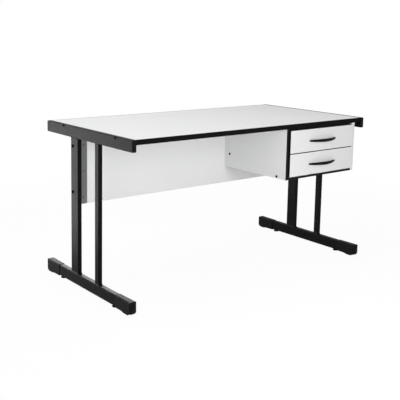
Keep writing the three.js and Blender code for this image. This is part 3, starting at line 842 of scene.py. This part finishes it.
TRAY_WALL = 12 * MM
RUNNER_SHEET = 1.2 * MM
BLOCK_WIDTH = 14 * MM
BLOCK_DEPTH = 16 * MM
BLOCK_LIP = 3 * MM
BLOCK_LOW = 34 * MM
BLOCK_HIGH = 64 * MM


def handle_screws(level):
    """The two screws from inside the drawer into the ends of the handle."""
    low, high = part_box(f"{level}_drawer_handle")
    from_end = 7 * MM
    behind_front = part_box(f"{level}_drawer_front")[1].y
    height = middle(f"{level}_drawer_handle").z
    seats = [(x, behind_front, height) for x in (low.x + from_end, high.x - from_end)]
    head = Head(4.2 * MM, 2 * MM, cross(2.3 * MM, 0.65 * MM), 1.3 * MM)
    screws(f"{level}_handle_screws", seats, (0, 1, 0), head, bright, f"{level}_drawer", "zinc")


def corner_block(level, side, sign):
    """The nylon block between a tray side and the drawer front, with a slope for its screws."""
    low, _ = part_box(f"{level}_drawer_tray")
    wall = face(f"{level}_drawer_tray", sign) - sign * TRAY_WALL
    outline = [
        (SEAM, SEAM),
        (BLOCK_WIDTH, SEAM),
        (BLOCK_WIDTH, BLOCK_LIP),
        (BLOCK_LIP, BLOCK_DEPTH),
        (SEAM, BLOCK_DEPTH),
    ]
    # mirrored on the right, where it runs the other way round, so that the faces look outward too
    plan = [(wall - sign * x, low.y + y) for x, y in outline[::-sign]]
    block = Shape()
    block.rings([[Vector((x, y, low.z + z)) for x, y in plan] for z in (BLOCK_LOW, BLOCK_HIGH)])
    name = f"{level}_{side}_corner_block"
    block.piece(name, by_slot["nylon"], f"{level}_drawer", "nylon", bevel=1 * MM)


def block_screws(level, side, sign):
    """Two screws on a corner block's slope."""
    low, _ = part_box(f"{level}_drawer_tray")
    wall = face(f"{level}_drawer_tray", sign) - sign * TRAY_WALL
    proud = 0.1 * MM
    from_end = 8 * MM
    x = wall - sign * ((BLOCK_WIDTH + BLOCK_LIP) / 2 + proud)
    y = low.y + (BLOCK_DEPTH + BLOCK_LIP) / 2 + proud
    seats = [(x, y, low.z + z) for z in (BLOCK_LOW + from_end, BLOCK_HIGH - from_end)]
    slope = Vector((-sign * (BLOCK_DEPTH - BLOCK_LIP), BLOCK_WIDTH - BLOCK_LIP, 0)).normalized()
    head = Head(2.9 * MM, 1.2 * MM, cross(1.7 * MM, 0.5 * MM), 0.8 * MM)
    screws(f"{level}_{side}_block_screws", seats, slope, head, bright, f"{level}_drawer", "zinc")


def cabinet_runner_screws(level, side, sign):
    """Three screws through the web of a cabinet runner into the pedestal side."""
    low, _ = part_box(f"{level}_drawer_tray")
    web = face(f"{level}_{side}_cabinet_runner", sign) - sign * RUNNER_SHEET
    above_tray_bottom = 11 * MM
    behind_tray_front = (60 * MM, 180 * MM, 300 * MM)
    seats = [(web, low.y + run, low.z + above_tray_bottom) for run in behind_tray_front]
    head = Head(3.6 * MM, 1.1 * MM, cross(2 * MM, 0.5 * MM), 0.7 * MM)
    name = f"{level}_{side}_cabinet_runner_screws"
    screws(name, seats, (-sign, 0, 0), head, bright, "desk_frame", "zinc")


def drawer_runner_screws(level, side, sign):
    """Three screws up through the flange of a drawer runner into the tray side."""
    low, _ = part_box(f"{level}_drawer_tray")
    runner = f"{level}_{side}_drawer_runner"
    into_flange = 5.2 * MM
    x = face(runner, -sign) + sign * into_flange
    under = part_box(runner)[0].z
    behind_tray_front = (40 * MM, 175 * MM, 310 * MM)
    seats = [(x, low.y + run, under) for run in behind_tray_front]
    head = Head(3.2 * MM, 1.2 * MM, cross(1.9 * MM, 0.5 * MM), 0.8 * MM)
    screws(f"{runner}_screws", seats, (0, 0, -1), head, bright, f"{level}_drawer", "zinc")


for level in LEVELS:
    handle_screws(level)
    for side, sign in SIDES:
        corner_block(level, side, sign)
        block_screws(level, side, sign)
        cabinet_runner_screws(level, side, sign)
        drawer_runner_screws(level, side, sign)


# ------------------------------------------------------------------ the picture

lens_and_place()
white_world(strength=0.21)
pale_floor()
soft_box("key", (-0.35, -1.9, 0.87), (0.0, 0.0, 0.5), (1.1, 1.1), 18.2, "shade")
soft_box("left", (-3.0, -1.65, 1.7), (0.0, 0.0, 0.5), (1.5, 1.4), 25, "shade")
soft_box("top_left", (-1.4, 0.3, 2.8), (-0.3, 0.0, 0.6), (1.8, 1.8), 29, "shade")
soft_box("top_right", (0.1, 0.2, 3.2), (0.0, 0.0, 0.6), (2.0, 2.0), 20, "shade")
soft_box("rear_fill", (0.4, 3.4, 0.45), (0.0, 0.0, 0.45), (2.4, 0.5), 34, "shade")
soft_box("right_fill", (3.6, 0.3, 0.45), (0.6, 0.0, 0.45), (1.6, 0.5), 26, "shade")
soft_box("far_sheen", (-2.4, 3.4, 0.75), (-0.7, 0.0, 0.4), (1.3, 1.1), 36, "sheen")
soft_box("near_sheen", (-1.3, 1.1, 0.28), (-0.7, 0.0, 0.28), (0.9, 0.56), 10, "sheen")
soft_box("low_sheen", (-0.97, 0.55, 0.12), (-0.7, 0.05, 0.15), (0.35, 0.24), 0.9, "sheen")
soft_box("foot_sheen", (-0.1, 0.9, 0.48), (-0.69, 0.0, 0.06), (1.2, 0.42), 16, "sheen")
bpy.context.scene.view_settings.view_transform = "Standard"
